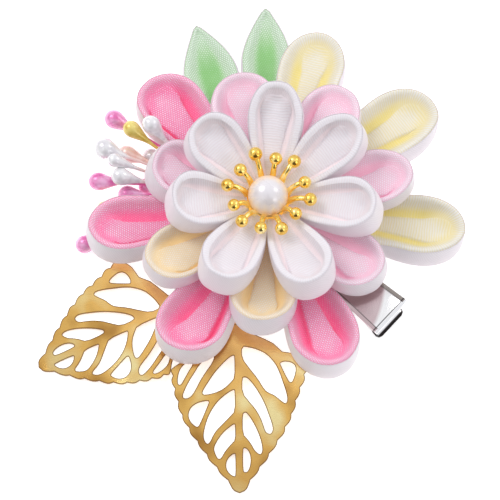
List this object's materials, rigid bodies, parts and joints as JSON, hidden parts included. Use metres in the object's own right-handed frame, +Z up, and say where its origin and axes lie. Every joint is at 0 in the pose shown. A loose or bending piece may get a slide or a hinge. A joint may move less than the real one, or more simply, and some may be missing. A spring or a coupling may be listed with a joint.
{
  "type": "kanzashi hair clip",
  "caption": "Flower hair clip with rings of folded ribbon petals, pointed leaves, pips and a pearl over pierced metal leaves, on a sprung clip with one moving jaw.",
  "frame": {"origin": "centre of the bounding box on the table's surface, under the flower", "axes": "+Z up from the table, out of the flower's face; +Y towards the green leaves; +X towards the right-hand yellow petal"},
  "size_m": [0.1065, 0.1271, 0.0214],
  "materials": {
    "white_ribbon": "grosgrain ribbon, soft sheen",
    "light_pink_ribbon": "grosgrain ribbon, soft sheen",
    "cream_ribbon": "grosgrain ribbon, soft sheen",
    "hot_pink_ribbon": "grosgrain ribbon, soft sheen",
    "yellow_ribbon": "grosgrain ribbon, soft sheen",
    "green_ribbon": "grosgrain ribbon, soft sheen",
    "pip_magenta": "pearl lacquer",
    "pip_gold": "pearl lacquer",
    "pip_pearl": "pearl lacquer",
    "pip_peach": "pearl lacquer",
    "pearl": "pearl lustre",
    "gold_metal": "polished gold plating",
    "felt": "felt",
    "steel": "polished nickel plating"
  },
  "bodies": {
    "hairpin": {"white_petal_1": "white_ribbon", "white_petal_2": "white_ribbon", "white_petal_3": "white_ribbon", "white_petal_4": "white_ribbon", "white_petal_5": "white_ribbon", "white_petal_6": "white_ribbon", "white_petal_7": "white_ribbon", "light_pink_petal_1": "light_pink_ribbon", "light_pink_petal_2": "light_pink_ribbon", "light_pink_petal_3": "light_pink_ribbon", "light_pink_petal_4": "light_pink_ribbon", "light_pink_petal_5": "light_pink_ribbon", "cream_petal_1": "cream_ribbon", "cream_petal_2": "cream_ribbon", "hot_pink_petal_1": "hot_pink_ribbon", "hot_pink_petal_2": "hot_pink_ribbon", "hot_pink_petal_3": "hot_pink_ribbon", "hot_pink_petal_4": "hot_pink_ribbon", "yellow_petal_1": "yellow_ribbon", "yellow_petal_2": "yellow_ribbon", "yellow_petal_3": "yellow_ribbon", "green_leaf_1": "green_ribbon", "green_leaf_2": "green_ribbon", "pip_01": "pip_magenta", "pip_02": "pip_gold", "pip_03": "pip_pearl", "pip_04": "pip_pearl", "pip_05": "pip_pearl", "pip_06": "pip_peach", "pip_07": "pip_pearl", "pip_08": "pip_pearl", "pip_09": "pip_magenta", "pip_10": "pip_magenta", "pip_11": "pip_magenta", "pip_12": "pip_gold", "pip_13": "pip_magenta", "pearl": "pearl", "stamen_ring": "gold_metal", "gold_leaf_left": "gold_metal", "gold_leaf_bottom": "gold_metal", "base_felt": "felt", "clip_top": "steel", "clip_pin": "steel", "clip_spring": "steel"},
    "lower_jaw": {"clip_bottom": "steel"}
  },
  "joints": [
    {"name": "jaw_hinge", "type": "hinge", "parent": "hairpin", "child": "lower_jaw", "pos_m": [0.02212, -0.00823, 0.0034], "axis": [-0.6626, -0.749, 0], "range_deg": [0, 14], "stiffness_Nm_per_rad": 0.08, "springref_deg": -45.84, "deforming": ["clip_spring"]}
  ]
}
